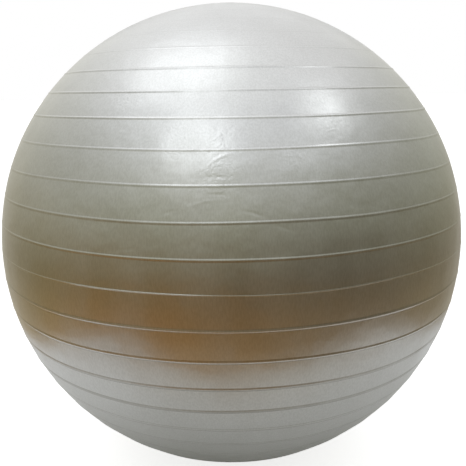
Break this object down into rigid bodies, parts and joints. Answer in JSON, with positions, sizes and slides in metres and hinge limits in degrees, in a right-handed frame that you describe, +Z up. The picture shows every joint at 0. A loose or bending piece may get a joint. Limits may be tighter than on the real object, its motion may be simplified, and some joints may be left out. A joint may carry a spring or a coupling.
{
  "type": "exercise ball",
  "caption": "Inflated ribbed exercise ball resting on a small flat, with a bonded valve seat and a push-in valve plug that pulls out.",
  "frame": {"origin": "on the floor, at the middle of the small flat that the ball rests on", "axes": "+Z up along the ball's axis, through the valve; the ribs run round +Z; the pictured side faces -Y"},
  "size_m": [0.6506, 0.6506, 0.6476],
  "materials": {
    "ball_vinyl": "satin",
    "valve_vinyl": "satin",
    "plug_plastic": "satin"
  },
  "bodies": {
    "ball": {"ball_skin": "ball_vinyl", "valve_seat": "valve_vinyl"},
    "plug": {"valve_plug": "plug_plastic"}
  },
  "joints": [
    {"name": "plug_pull", "type": "slide", "parent": "ball", "child": "plug", "axis": [0, 0, 1], "range_m": [0, 0.045]}
  ]
}
